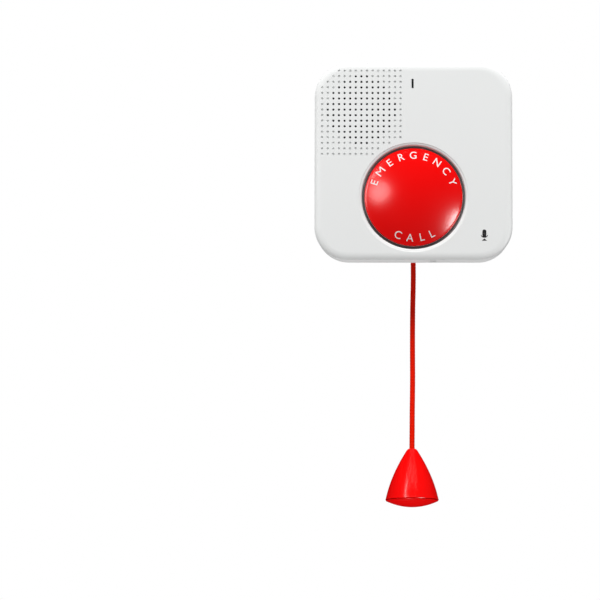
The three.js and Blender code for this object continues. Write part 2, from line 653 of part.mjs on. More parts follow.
function rearHousing() {
  const tub = loft([
    housingSection(flangeFront, 0),
    housingSection(housing.back - housing.backRound, 0),
    housingSection(housing.back - housing.backRound * roundMiddle, housing.backRound * roundMiddle),
    housingSection(housing.back, housing.backRound),
  ]);
  const flange = shellBlock(flangeFront, shell.depth, rimInset);
  const hollow = loft([
    housingSection(flangeFront - overrun, housing.wall),
    housingSection(housingInnerBack, housing.wall),
  ]);
  const pocketTop = pocketFloor + guide.pocketDepth;
  const guideEnd = cradle.bottom + tab.thickness + gap;
  const insideBack = housingInnerBack + gap;
  const body = join(
    cut(join(tub, flange), hollow),
    rodAlongZ(guideRadius, guideEnd, pocketTop, 0, puller.y, facets.round),
    ...caseColumns.map(([x, z]) => rod(column.radius, housingFront, insideBack, x, z)),
    box(shelf.x, [shelf.y, insideBack], [shelf.z, shelf.z + pullSwitch.height]),
  );
  const slot = (side) =>
    box(around(side * hook.x, hook.width / 2 + hook.slotGap),
      [housingInnerBack - overrun, housing.back + overrun],
      [hook.z - hook.thickness / 2 - hook.slotGap, hook.z + hook.thickness / 2 + hook.lip + hook.slotGap]);
  return cut(
    body,
    rodAlongZ(puller.discRadius + gap, guideEnd - overrun, guideFloor, 0, puller.y, facets.round),
    rodAlongZ(puller.stemRadius + gap, guideEnd, pocketTop, 0, puller.y, facets.stem),
    rodAlongZ(guide.springPocket, pocketFloor, headUnder, 0, puller.y, facets.round),
    rodAlongZ(puller.headRadius + gap, headUnder - puller.travel - gap, headTop, 0, puller.y, facets.round),
    ...caseColumns.map(([x, z]) => rod(column.clearance, shell.depth - overrun, housing.back, x, z)),
    ...caseColumns.map(([x, z]) => rod(column.counterbore, column.seat, housing.back + overrun, x, z)),
    box(around(0, doorHalfX), [housingInnerBack - overrun, housing.back + overrun],
      around(battery.z, doorHalfZ)),
    rod(grommet.radius, housingInnerBack - overrun, housing.back + overrun, terminal.x, terminal.z),
    slot(-1),
    slot(1),
  );
}
onFace("rear_housing", rearHousing(), greyPlastic);

onFace("housing_seal", cut(
  shellBlock(ledgeBack + gap, ledgeBack + gap + seal.thickness, rimInset),
  shellBlock(ledgeBack, shell.depth, rimInset + seal.width),
), darkRubber);

caseColumns.forEach(([x, z], index) => {
  const headFront = column.seat + gap;
  const head = rod(caseScrew.headRadius, headFront, headFront + caseScrew.headThickness, x, z, facets.bore);
  const shank = rod(caseScrew.radius, caseScrew.tip, headFront + bite, x, z, facets.bore);
  onFace(`case_screw_${index + 1}`, join(head, shank), steel);
});

const headOut = halfWidth - sideScrew.recessDepth + gap;
const screwIn = headOut - sideScrew.length;
const headDown = halfHeight - sideScrew.recessDepth + gap;
onFace("side_screw", join(
  rodAlongX(sideScrew.headRadius, headOut, headOut + sideScrew.headThickness, sideScrew.y, sideScrew.z),
  rodAlongX(sideScrew.radius, screwIn, headOut + bite, sideScrew.y, sideScrew.z, facets.bore),
), steel);
onFace("bottom_screw", join(
  rodAlongZ(sideScrew.headRadius, -headDown - sideScrew.headThickness, -headDown,
    sideScrew.bottomX, sideScrew.bottomY),
  rodAlongZ(sideScrew.radius, -headDown - bite, sideScrew.length - headDown,
    sideScrew.bottomX, sideScrew.bottomY, facets.bore),
), steel);

onFace("cable_grommet", turned([
  [grommet.bore, housingInnerBack - gap - grommet.lipThickness],
  [grommet.radius + grommet.lip, housingInnerBack - gap - grommet.lipThickness],
  [grommet.radius + grommet.lip, housingInnerBack - gap],
  [grommet.radius - gap, housingInnerBack - gap],
  [grommet.radius - gap, housing.back + gap],
  [grommet.radius + grommet.lip, housing.back + gap],
  [grommet.radius + grommet.lip, housing.back + gap + grommet.lipThickness],
  [grommet.bore, housing.back + gap + grommet.lipThickness],
  [grommet.bore, housingInnerBack - gap - grommet.lipThickness],
], terminal.x, terminal.z, grommet.sides), darkRubber);

// Battery tray, cells, contacts and door

const trayFront = cellY - battery.radius - gap - battery.wall;
const trayBack = housingInnerBack - gap;
onFace("battery_tray", cut(
  box(around(0, holderHalfX), [trayFront, trayBack], around(battery.z, holderHalfZ)),
  box(around(0, holderHalfX - battery.wall), [trayFront + battery.wall, trayBack + overrun],
    around(battery.z, holderHalfZ - battery.wall)),
), blackPlastic);

range(battery.cells).forEach((index) => {
  const z = battery.z + (index - (battery.cells - 1) / 2) * battery.pitch;
  onFace(`battery_cell_${index + 1}`,
    rodAlongX(battery.radius, -battery.halfLength, battery.halfLength, cellY, z, battery.sides), cellJacket);
});

[["left", -1], ["right", 1]].forEach(([side, direction]) => {
  const outerFace = holderHalfX - battery.wall - gap;
  const across = [outerFace - battery.contact, outerFace].map((x) => direction * x).sort((a, b) => a - b);
  const reach = holderHalfZ - battery.wall - battery.contactMargin;
  onFace(`battery_contact_${side}`, box(across, around(cellY, battery.radius * battery.contactShare),
    around(battery.z, reach)), steel);
});

onFace("battery_door", box(around(0, doorHalfX - gap), [housingInnerBack, housing.back],
  around(battery.z, doorHalfZ - gap)), greyPlastic);

// Wall cradle

function cradleSections(inset) {
  const farthest = wallDepthAt(wallTop) + cradle.band;
  const open = inset ? overrun : 0;
  const section = (y, halfX, top) => ({
    y,
    halfX: halfX - inset,
    top: top - inset,
    bottom: cradle.bottom + inset,
    topRadius: cradle.topRadius - inset,
    bottomRadius: cradle.bottomRadius - inset,
  });
  return [
    section(cradle.rimDepth - open, rimHalfX, rimTop + housing.slopeZ * open),
    section(bandBack, bandX, bandTop),
    section(lowerStart, lowerX, lowerTop),
    section(farthest, lowerX - cradle.lowerSlope * (farthest - lowerStart),
      lowerTop - cradle.topSlope * (farthest - lowerStart)),
  ];
}

// A solid given in the finished part's frame, moved into the face frame.
const toFace = faceGroup.matrixWorld.clone().invert();
const fromWall = (geometry) => solid(geometry.applyMatrix4(toFace));

function wallBox([x0, x1], [y0, y1], [z0, z1]) {
  const geometry = new THREE.BoxGeometry(x1 - x0, y1 - y0, z1 - z0);
  return fromWall(geometry.translate((x0 + x1) / 2, (y0 + y1) / 2, (z0 + z1) / 2));
}

function wallRod(radius, farRadius, y0, y1, x, z, sides = facets.plain) {
  const geometry = new THREE.CylinderGeometry(farRadius, radius, y1 - y0, sides);
  return fromWall(geometry.translate(x, (y0 + y1) / 2, z));
}

function pullTab() {
  const bottomAt = (y) => -housingHalfZ(y);
  const ground = cradle.bottom;
  const flat = loft([ground, ground + tab.thickness].map((z) => ({
    y: z,
    halfX: tab.halfWidth,
    top: pastWall,
    bottom: tab.top,
    topRadius: tab.wallRadius,
    bottomRadius: tab.cornerRadius,
  })), plateSteps);
  // the outline above lies in X and Y, so its Y and Z change places
  const plateSolid = flat.transform([1, 0, 0, 0, 0, 0, 1, 0, 0, 1, 0, 0, 0, 0, 0, 1]);
  const web = (side) => {
    const profile = new THREE.Shape([
      new THREE.Vector2(tab.top + tab.cornerRadius, ground + gap),
      new THREE.Vector2(cradle.bottomWallDepth, ground + gap),
      new THREE.Vector2(cradle.bottomWallDepth, bottomAt(bandBack)),
      new THREE.Vector2(housing.back + gap, bottomAt(housing.back + gap) - tab.webGap),
      new THREE.Vector2(tab.top + tab.cornerRadius, bottomAt(tab.top + tab.cornerRadius) - tab.webGap),
    ]);
    const sheet = new THREE.ExtrudeGeometry(profile, { depth: tab.webThickness, bevelEnabled: false });
    // the profile is drawn in Y and Z, and its thickness runs along X
    sheet.applyMatrix4(new THREE.Matrix4().set(0, 0, 1, 0, 1, 0, 0, 0, 0, 1, 0, 0, 0, 0, 0, 1));
    const start = side > 0 ? tab.halfWidth - tab.webThickness : -tab.halfWidth;
    return solid(sheet.translate(start, 0, 0));
  };
  return join(plateSolid, web(-1), web(1));
}

function wallHook(side) {
  const lipFront = housingInnerBack - gap - hook.lipThickness;
  const stalk = box(around(side * hook.x, hook.width / 2), [lipFront, wallDepthAt(hook.z)],
    around(hook.z, hook.thickness / 2));
  const lip = box(around(side * hook.x, hook.width / 2), [lipFront, lipFront + hook.lipThickness],
    [hook.z, hook.z + hook.thickness / 2 + hook.lip]);
  return join(stalk, lip);
}

function wallCradle() {
  const reach = shell.width;
  const room = wallBox([-reach, reach], [-2 * reach, 0], [-2 * reach, 2 * reach]);
  const frontOfPlate = wallBox([-reach, reach], [-2 * reach, -cradle.plate], [-2 * reach, 2 * reach]);
  const shape = loft(cradleSections(0));
  const hollow = loft(cradleSections(cradle.wall)).intersect(frontOfPlate);
  const body = join(cut(shape, hollow), pullTab(), wallHook(-1), wallHook(1)).intersect(room);
  const keyhole = puller.discRadius + gap;
  const slotHalf = cord.radius + tab.slotClearance;
  const below = [cradle.bottom - overrun, cradle.bottom + tab.thickness + overrun];
  const holes = [-1, 1].flatMap((sideX) => [-1, 1].map((sideZ) => {
    const [x, z] = [sideX * wallScrew.x, sideZ * wallScrew.z];
    return join(
      wallRod(wallScrew.radius, wallScrew.radius, -cradle.plate - overrun, overrun, x, z),
      wallRod(wallScrew.headRadius + overrun, wallScrew.radius, -cradle.plate - overrun,
        -wallScrew.landing, x, z),
    );
  }));
  const notchX = [rimHalfX - cableNotch.wallLength, rimHalfX + overrun];
  const notchTop = cableNotch.height - cableNotch.radius;
  const archLength = notchX[1] - notchX[0];
  const arch = new THREE.CylinderGeometry(cableNotch.radius, cableNotch.radius, archLength, facets.stem)
    .rotateZ(quarterTurn)
    .translate((notchX[0] + notchX[1]) / 2, -notchTop, cableNotch.z);
  return cut(
    body,
    rodAlongZ(keyhole, ...below, 0, puller.y, facets.round),
    box(around(0, slotHalf), [puller.y, pastWall], below),
    ...holes,
    fromWall(arch),
    wallBox(notchX, [-notchTop, overrun], around(cableNotch.z, cableNotch.radius)),
  );
}
onFace("wall_cradle", wallCradle(), greyPlastic);

// Pull plunger, its spring and the switch it trips

function pullPlunger() {
  const armEnd = puller.armLength;
  const body = join(
    rodAlongZ(puller.discRadius, discFront, discTop, 0, puller.y, facets.round),
    rodAlongZ(puller.stemRadius, discTop - gap, headUnder + gap, 0, puller.y, facets.stem),
    rodAlongZ(puller.headRadius, headUnder, headTop, 0, puller.y, facets.round),
    box([0, armEnd], around(puller.y, puller.armWidth / 2), [headUnder, headTop]),
  );
  return cut(body, rodAlongZ(cord.radius + gap, discFront - overrun, headTop + overrun, 0, puller.y));
}
onFace("pull_plunger", pullPlunger(), redPlastic);

onFace("plunger_spring", solid(
  coil(pullSpring.radius, pocketFloor + gap, headUnder - gap, pullSpring.turns)
    .translate(0, puller.y, 0)), steel);

onFace("pull_switch", box(shelf.x, [shelf.y - gap - pullSwitch.thickness, shelf.y - gap],
  [shelf.z, shelf.z + pullSwitch.height]), blackPlastic);

// Pull cord with its two knots

const inRoom = (x, y, z) => new THREE.Vector3(x, y, z).applyMatrix4(faceGroup.matrixWorld);
const exit = inRoom(0, puller.y, discFront);
const cordStart = inRoom(0, puller.y, headTop + gap);
const cordMiddle = inRoom(0, puller.y, (headTop + discFront) / 2);
const handleAxisY = exit.y + handleY;
const handleRim = exit.z + handleTop - handle.height;
const knotCentre = exit.z + handleTop - handle.roof - gap - knot.radius;
const route = [
  cordStart,
  cordMiddle,
  exit,
  ...cordDrop.map(([x, y, z]) => new THREE.Vector3(x, exit.y + y, exit.z + z)),
  new THREE.Vector3(handleX, handleAxisY, exit.z + handleTop - handle.mouth),
  new THREE.Vector3(handleX, handleAxisY, exit.z + handleTop - handle.roof),
];
const cordPath = new THREE.CatmullRomCurve3(route);
const cordSection = new THREE.Shape().absarc(0, 0, cord.radius, 0, 2 * Math.PI);
const cordTube = new THREE.ExtrudeGeometry(cordSection, {
  steps: Math.round(cordPath.getLength() / cord.step),
  curveSegments: cord.sides / 2,
  extrudePath: cordPath,
});
hanging("pull_cord", solid(cordTube), redCord);

function cordKnot(centre) {
  const ball = new THREE.SphereGeometry(knot.radius, knot.sides, knot.rings).scale(1, 1, knot.flatness);
  return solid(ball.translate(centre.x, centre.y, centre.z));
}
hanging("upper_knot", cordKnot(inRoom(0, puller.y, headTop + 2 * gap + knot.radius)), redCord);
hanging("lower_knot", cordKnot(new THREE.Vector3(handleX, handleAxisY, knotCentre)), redCord);

// Pull handle and its base

const handleCurve = new THREE.QuadraticBezierCurve(
  new THREE.Vector2(handle.topRadius, 0),
  new THREE.Vector2(handle.bellyRadius, -handle.bellyDepth),
  new THREE.Vector2(handle.radius, -handle.height),
);
const handleSide = handleCurve.getPoints(handle.profileSteps).map(({ x, y }) => [x, y + exit.z + handleTop]);
const bore = cord.radius + gap;
const roofZ = exit.z + handleTop - handle.roof;
const innerSide = handleSide
  .filter(([, z]) => z < roofZ - handle.roofRound)
  .map(([radius, z]) => [radius - handle.wall, z]);

hanging("pull_handle", turnedUpright([
  [bore, exit.z + handleTop],
  ...handleSide,
  ...innerSide.reverse(),
  [innerSide.at(-1)[0] - handle.roofRound, roofZ],
  [bore, roofZ],
  [bore, exit.z + handleTop],
], handleX, handleAxisY, handle.sides), redPlastic);

const baseTop = handleRim - gap;
const capRise = (radius) => handle.capDepth * (1 - (radius / handle.radius) ** 2);
const spigotRadius = handle.radius - handle.wall - gap;
hanging("handle_base", turnedUpright([
  [0, baseTop - capRise(0)],
  ...handle.capSteps
    .map((share) => share * handle.radius)
    .map((radius) => [radius, baseTop - capRise(radius)]),
  [handle.radius - handle.capRound, baseTop - handle.lip],
  [handle.radius - handle.capInset, baseTop],
  [spigotRadius, baseTop],
  [spigotRadius - handle.spigotTaper, baseTop + handle.spigot],
  [spigotRadius - handle.spigotWall, baseTop + handle.spigot],
  [spigotRadius - handle.spigotWall, baseTop - handle.lip],
  [0, baseTop - handle.floor],
], handleX, handleAxisY, handle.sides), redPlastic);

export default callStation;
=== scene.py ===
"""Wall-mounted call station in metres, with the wall at Y = 0."""
import json
import math

import bmesh
import bpy
from mathutils import Matrix, Vector


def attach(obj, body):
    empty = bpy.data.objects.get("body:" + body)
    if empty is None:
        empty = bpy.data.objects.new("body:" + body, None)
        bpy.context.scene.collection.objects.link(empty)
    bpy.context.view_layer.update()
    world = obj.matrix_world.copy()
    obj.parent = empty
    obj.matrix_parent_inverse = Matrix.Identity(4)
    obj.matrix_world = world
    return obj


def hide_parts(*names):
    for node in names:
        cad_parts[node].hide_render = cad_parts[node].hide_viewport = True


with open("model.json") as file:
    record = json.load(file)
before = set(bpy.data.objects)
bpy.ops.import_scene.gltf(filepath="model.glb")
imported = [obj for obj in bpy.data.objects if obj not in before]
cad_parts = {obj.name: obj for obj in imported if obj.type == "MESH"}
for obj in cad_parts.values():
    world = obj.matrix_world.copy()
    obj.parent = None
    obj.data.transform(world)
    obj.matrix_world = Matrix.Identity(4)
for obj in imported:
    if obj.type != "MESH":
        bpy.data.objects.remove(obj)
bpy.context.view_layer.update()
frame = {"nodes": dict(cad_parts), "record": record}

MM = 0.001
AXIS = 1e-4  # a radius that stands for the axis of a turned form
OVERRUN = 1  # how far a cutter runs past the face it opens

# The face frame of the CAD: millimetres, X right, Y back from the front face, Z up the face.
TILT = math.radians(10)
WALL_OFFSET = 66.6919
MIDDLE_HEIGHT = -8.1345
FACE = (Matrix.Translation((0, -WALL_OFFSET * MM, -MIDDLE_HEIGHT * MM))
        @ Matrix.Rotation(TILT, 4, "X") @ Matrix.Scale(MM, 4))
UPRIGHT = Matrix.Scale(MM, 4)

# Camera

camera = bpy.data.objects.new("camera", bpy.data.cameras.new("camera"))
bpy.context.scene.collection.objects.link(camera)
bpy.context.scene.camera = camera
FOCAL_PIXELS = 1303
PICTURE = 600
SENSOR = 36
CENTRE = (405.9, 332.7)  # the pixel where the camera's axis meets the picture
CAMERA_PLACE, CAMERA_WAY = (-5, -850, -148.3), (0, 1, 0.042)  # in the face frame
camera.location = FACE @ Vector(CAMERA_PLACE)
camera.rotation_mode = "QUATERNION"
camera.rotation_quaternion = (FACE.to_3x3() @ Vector(CAMERA_WAY)).to_track_quat("-Z", "Y")
camera.data.sensor_width = SENSOR
camera.data.lens = FOCAL_PIXELS * SENSOR / PICTURE
camera.data.shift_x = (PICTURE / 2 - CENTRE[0]) / PICTURE
camera.data.shift_y = (CENTRE[1] - PICTURE / 2) / PICTURE
camera.data.clip_start = 0.01
camera.data.clip_end = 20

# Mesh helpers


def mesh_object(name, verts, faces, matrix=UPRIGHT, body="station", smooth=30):
    mesh = bpy.data.meshes.new(name)
    mesh.from_pydata([matrix @ Vector(v) for v in verts], [], faces)
    mesh.update()
    obj = bpy.data.objects.new(name, mesh)
    bpy.context.scene.collection.objects.link(obj)
    tidy_normals(obj, smooth)
    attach(obj, body)
    return obj


def tidy_normals(obj, smooth):
    bm = bmesh.new()
    bm.from_mesh(obj.data)
    bmesh.ops.remove_doubles(bm, verts=bm.verts, dist=1e-7)
    bmesh.ops.recalc_face_normals(bm, faces=bm.faces)
    bm.to_mesh(obj.data)
    bm.free()
    obj.data.shade_smooth()
    obj.data.set_sharp_from_angle(angle=math.radians(smooth))


def lathe_data(profile, x, z, segments, upright=False):
    """A closed profile turned about a line from front to back, or about an upright line at (x, y)."""
    verts, faces = [], []
    count = len(profile)
    for k in range(segments):
        a = 2 * math.pi * k / segments
        for radius, along in profile:
            across = (radius * math.cos(a), radius * math.sin(a))
            if upright:
                verts.append((x + across[0], z + across[1], along))
            else:
                verts.append((x + across[0], along, z + across[1]))
    for k in range(segments):
        n = (k + 1) % segments
        for i in range(count):
            j = (i + 1) % count
            faces.append([k * count + i, k * count + j, n * count + j, n * count + i])
    return verts, faces


def rounded_rectangle(half_x, half_z, radius, steps):
    points = []
    for corner, (sx, sz) in enumerate(((1, 1), (-1, 1), (-1, -1), (1, -1))):
        for step in range(steps + 1):
            a = (corner + step / steps) * math.pi / 2
            points.append((sx * (half_x - radius) + radius * math.cos(a),
                           sz * (half_z - radius) + radius * math.sin(a)))
    return points


def loft_data(sections):
    """Sections are (depth, outline points); both ends are capped."""
    verts, faces = [], []
    count = len(sections[0][1])
    for depth, points in sections:
        verts += [(px, depth, pz) for px, pz in points]
    for k in range(len(sections) - 1):
        for i in range(count):
            j = (i + 1) % count
            faces.append([k * count + i, k * count + j, (k + 1) * count + j, (k + 1) * count + i])
    faces.append(list(range(count)))
    faces.append(list(range((len(sections) - 1) * count, len(sections) * count)))
    return verts, faces


def merged(parts):
    verts, faces = [], []
    for part_verts, part_faces in parts:
        base = len(verts)
        verts += part_verts
        faces += [[base + i for i in face] for face in part_faces]
    return verts, faces


def rod_data(radius, y0, y1, x, z, segments):
    turns = [2 * math.pi * k / segments for k in range(segments)]
    ring = [(x + radius * math.cos(turn), z + radius * math.sin(turn)) for turn in turns]
    return loft_data([(y, ring) for y in (y0, y1)])


def turned_to_side(part, way):
    """A rod from front to back, laid along X through (Y, Z) or down through (X, Y)."""
    verts, faces = part
    if way == "x":
        return [(along, a, b) for a, along, b in verts], faces
    return [(a, b, -along) for a, along, b in verts], faces


def carve(obj, parts):
    """Cuts closed shapes out of obj."""
    verts, faces = merged(parts)
    mesh = bpy.data.meshes.new("cutter")
    mesh.from_pydata([FACE @ Vector(v) for v in verts], [], faces)
    bm = bmesh.new()
    bm.from_mesh(mesh)
    bmesh.ops.recalc_face_normals(bm, faces=bm.faces)
    bm.to_mesh(mesh)
    bm.free()
    cutter = bpy.data.objects.new("cutter", mesh)
    bpy.context.scene.collection.objects.link(cutter)
    boolean = obj.modifiers.new("cut", "BOOLEAN")
    boolean.operation = "DIFFERENCE"
    boolean.solver = "EXACT"
    boolean.object = cutter
    depsgraph = bpy.context.evaluated_depsgraph_get()
    result = bpy.data.meshes.new_from_object(obj.evaluated_get(depsgraph))
    obj.modifiers.remove(boolean)
    obj.data = result
    bpy.data.objects.remove(cutter)


def even_normals(obj):
    weighted = obj.modifiers.new("weighted normals", "WEIGHTED_NORMAL")
    weighted.keep_sharp = True
    weighted.weight = 100


# Cord

CORD_DIAMETER = 0.0035
CORD_STEPS = 28  # points of the curve between two of the route's points
AROUND = 24  # points round the cord
STRANDS = 4  # crests of each of the two crossing waves round the cord
PICK = 0.0021  # length of one crossing of the braid
BRAID_MEAN, BRAID_RISE = 0.965, 0.05  # shares of the cord's radius
CORD_POINTS = [
    (0.00000, -0.02189, -0.01961),
    (0.00000, -0.01972, -0.03192),
    (0.00000, -0.01760, -0.04393),
    (0.00000, -0.01718, -0.04653),
    (0.00002, -0.01698, -0.05033),
    (0.00005, -0.01700, -0.05593),
    (-0.00005, -0.01718, -0.06493),
    (-0.00030, -0.01744, -0.07593),
    (-0.00046, -0.01768, -0.08793),
    (-0.00055, -0.01788, -0.10093),
    (-0.00054, -0.01806, -0.11393),
    (-0.00050, -0.01820, -0.12693),
    (-0.00063, -0.01830, -0.13993),
    (-0.00080, -0.01838, -0.15193),
    (-0.00086, -0.01844, -0.16293),
    (-0.00094, -0.01846, -0.17093),
    (-0.00095, -0.01846, -0.17733),
    (-0.00095, -0.01846, -0.18033),
]


def spline(points, steps):
    """A centripetal Catmull-Rom curve through the points."""
    points = [Vector(p) for p in points]
    first = points[0] * 2 - points[1]
    last = points[-1] * 2 - points[-2]
    ring = [first, *points, last]
    out = []
    for i in range(1, len(ring) - 2):
        p0, p1, p2, p3 = ring[i - 1:i + 3]
        t0 = 0
        t1 = t0 + (p1 - p0).length ** 0.5
        t2 = t1 + (p2 - p1).length ** 0.5
        t3 = t2 + (p3 - p2).length ** 0.5
        for k in range(steps):
            t = t1 + (t2 - t1) * k / steps
            a1 = p0 * ((t1 - t) / (t1 - t0)) + p1 * ((t - t0) / (t1 - t0))
            a2 = p1 * ((t2 - t) / (t2 - t1)) + p2 * ((t - t1) / (t2 - t1))
            a3 = p2 * ((t3 - t) / (t3 - t2)) + p3 * ((t - t2) / (t3 - t2))
            b1 = a1 * ((t2 - t) / (t2 - t0)) + a2 * ((t - t0) / (t2 - t0))
            b2 = a2 * ((t3 - t) / (t3 - t1)) + a3 * ((t - t1) / (t3 - t1))
            out.append(b1 * ((t2 - t) / (t2 - t1)) + b2 * ((t - t1) / (t2 - t1)))
    out.append(points[-1])
    return out


def braided_tube(name, points, radius, body):
    """A tube along the points, with its length and turn written to a UV map for the braid."""
    verts, faces, lengths = [], [], [0.0]
    for a, b in zip(points, points[1:]):
        lengths.append(lengths[-1] + (b - a).length)
    side = Vector((1, 0, 0))
    for i, point in enumerate(points):
        ahead = points[min(i + 1, len(points) - 1)] - points[max(i - 1, 0)]
        ahead.normalize()
        side = (side - ahead * side.dot(ahead)).normalized()
        up = ahead.cross(side)
        for k in range(AROUND):
            a = 2 * math.pi * k / AROUND
            turn = STRANDS * a
            run = lengths[i] / PICK * math.pi
            weave = math.cos(turn + run) * math.cos(turn - run)
            r = radius * (BRAID_MEAN + BRAID_RISE * weave)
            verts.append(point + side * (r * math.cos(a)) + up * (r * math.sin(a)))
    for i in range(len(points) - 1):
        for k in range(AROUND):
            n = (k + 1) % AROUND
            faces.append([i * AROUND + k, i * AROUND + n, (i + 1) * AROUND + n, (i + 1) * AROUND + k])
    faces.append(list(range(AROUND)))
    faces.append(list(range((len(points) - 1) * AROUND, len(points) * AROUND)))
    mesh = bpy.data.meshes.new(name)
    mesh.from_pydata(verts, [], faces)
    mesh.update()
    layer = mesh.uv_layers.new(name="braid")
    for polygon in mesh.polygons:
        ks = [mesh.loops[li].vertex_index % AROUND for li in polygon.loop_indices]
        wraps = max(ks) - min(ks) > AROUND / 2
        for li, k in zip(polygon.loop_indices, ks):
            row = mesh.loops[li].vertex_index // AROUND
            if wraps and k == 0:
                k = AROUND
            layer.data[li].uv = (k / AROUND, lengths[row] / (2 * math.pi * radius))
    mesh.shade_smooth()
    obj = bpy.data.objects.new(name, mesh)
    bpy.context.scene.collection.objects.link(obj)
    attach(obj, body)
    return obj


cord_route = spline(CORD_POINTS, CORD_STEPS)
cord = braided_tube("braided_cord", cord_route, CORD_DIAMETER / 2, "pull")
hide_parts("pull_cord")

# Pull handle

HANDLE_X, HANDLE_Y, HANDLE_TOP = -0.95, -18.4647, -175.3326
HANDLE_HEIGHT, HANDLE_RADIUS, HANDLE_MOUTH = 33.7, 17.5, 2.9
BELLY_RADIUS, BELLY_DEPTH = 13.9, 16.7
HANDLE_SEGMENTS = 96
SIDE_STEPS = 40
MOUTH_EDGE = [(2.05, -0.5), (2.15, -0.1), (2.4, 0.0), (2.6, -0.05), (2.78, -0.25)]
# In from the side and up from the rim.
RIM_EDGE = [(0.08, 0.6), (0.0, 0.3), (0.04, 0.08), (0.2, 0.0), (0.5, 0.0)]
INNER_SIDE = [(15.6, -33.5), (14.6, -30.0), (9.8, -16.0), (5.0, -6.0), (2.05, -5.0)]
BASE_GAP = 0.3
CAP_RADIUS, CAP_DEPTH, CAP_EDGE, CAP_STEPS = 17.1, 3.9, 0.35, 16
SPIGOT = [(17.28, -0.2), (17.2, 0.0), (14.9, 0.0), (14.2, 3.0), (12.9, 3.0), (12.9, -0.4), (AXIS, -1.2)]


def handle_side(steps):
    """The handle's outer side as radius and height, on a quadratic curve from the mouth to the rim."""
    points = []
    for k in range(steps + 1):
        t = k / steps
        u = 1 - t
        radius = u * u * HANDLE_MOUTH + 2 * u * t * BELLY_RADIUS + t * t * HANDLE_RADIUS
        points.append((radius, -2 * u * t * BELLY_DEPTH - t * t * HANDLE_HEIGHT))
    return points


def hanging_piece(name, profile):
    """A turned piece on the handle's axis that rides on the pull body."""
    verts, faces = lathe_data(profile, HANDLE_X, HANDLE_Y, HANDLE_SEGMENTS, upright=True)
    return mesh_object(name, verts, faces, body="pull", smooth=40)


profile = MOUTH_EDGE + handle_side(SIDE_STEPS)[1:-1]
profile += [(HANDLE_RADIUS - inward, up - HANDLE_HEIGHT) for inward, up in RIM_EDGE]
profile += INNER_SIDE
handle = hanging_piece("cone_handle", [(r, z + HANDLE_TOP) for r, z in profile])
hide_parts("pull_handle")

base_top = HANDLE_TOP - HANDLE_HEIGHT - BASE_GAP
cap = []
for k in range(CAP_STEPS + 1):
    r = CAP_RADIUS * k / CAP_STEPS
    cap.append((max(r, AXIS), base_top - CAP_EDGE - CAP_DEPTH * (1 - (r / CAP_RADIUS) ** 2)))
cap += [(r, base_top + z) for r, z in SPIGOT]
handle_base = hanging_piece("cone_handle_base", cap)
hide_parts("handle_base")

# Front shell

HALF = 65.0
CORNER = 22.0
ROLL_WIDTH, ROLL_DEPTH = 5.2, 1.7
SHELL_DEPTH = 19.75
REAR_ROLL = 1.4
SHELL_WALL, SIDE_WALL = 2.4, 3.0
BUTTON_Z = -23.6
BUTTON_RADIUS = 32.2
GAP, RING_WIDTH = 0.3, 1.3
OPENING = BUTTON_RADIUS + GAP + RING_WIDTH + GAP
COLLAR_DEPTH = 8
LEAD_IN_EDGE, LEAD_IN_WIDTH, LEAD_IN_START, LEAD_IN_DEPTH, LEAD_IN_STEPS = 2.0, 1.6, 0.25, 1.05, 8
GRILLE_X, GRILLE_Z, PITCH, REACH = -34.3, 34.3, 3.68, 6.2
GRILLE_COLUMNS, GRILLE_ROWS, GRILLE_MIDDLE = 15, 16, 7
GRILLE_CORNER = 3  # a column and row that sum to less are left out, at the face's corner
LAST_COLUMN = {13: 12, 14: 10, 15: 9}  # of the rows that the button cuts short
HOLE, HOLE_SIDES, THROUGH, BLIND_DEPTH = 0.76, 20, 0.5, 0.8
GRILLE_WALL, SPEAKER_POCKET = 1.0, 24.3
SLIT_X, SLIT_Z, SLIT_HALF_WIDTH, SLIT_HALF_HEIGHT, SLIT_CORNER = -0.6, 51.6, 0.72, 3.2, 0.70
MIC_X, MIC_Z, MIC_HOLE = 46.4, -47.6, 0.45
RECESS_RADIUS, RECESS_DEPTH = 2.5, 2.6
SIDE_SCREW = (8.6, 0)
BOTTOM_SCREW = (13, 7)
ROLL_STEPS, REAR_STEPS, OUTLINE_STEPS = 14, 5, 24


def shell_outline(inset):
    return rounded_rectangle(HALF - inset, HALF - inset, CORNER - inset, OUTLINE_STEPS)


def shell_sections():
    """The rolled front edge, the straight side and the small rear edge."""
    sections = []
    for k in range(ROLL_STEPS + 1):
        a = k / ROLL_STEPS * math.pi / 2
        inset = ROLL_WIDTH * (1 - math.sin(a))
        sections.append((ROLL_DEPTH * (1 - math.cos(a)), shell_outline(inset)))
    sections.append((SHELL_DEPTH - REAR_ROLL, shell_outline(0)))
    for k in range(1, REAR_STEPS + 1):
        a = k / REAR_STEPS * math.pi / 2
        depth = SHELL_DEPTH - REAR_ROLL * (1 - math.sin(a))
        sections.append((depth, shell_outline(REAR_ROLL * (1 - math.cos(a)))))
    return sections


def grille_holes():
    """Open holes before the speaker, and blind dimples round them."""
    holes = []
    for column in range(GRILLE_COLUMNS):
        for row in range(GRILLE_ROWS):
            if column + row < GRILLE_CORNER or column > LAST_COLUMN.get(row, GRILLE_COLUMNS):
                continue
            x = GRILLE_X + (column - GRILLE_MIDDLE) * PITCH
            z = GRILLE_Z - (row - GRILLE_MIDDLE) * PITCH
            is_open = math.hypot(column - GRILLE_MIDDLE, row - GRILLE_MIDDLE) <= REACH
            depth = SHELL_WALL + THROUGH if is_open else BLIND_DEPTH
            holes.append(rod_data(HOLE, -OVERRUN, depth, x, z, HOLE_SIDES))
    return holes


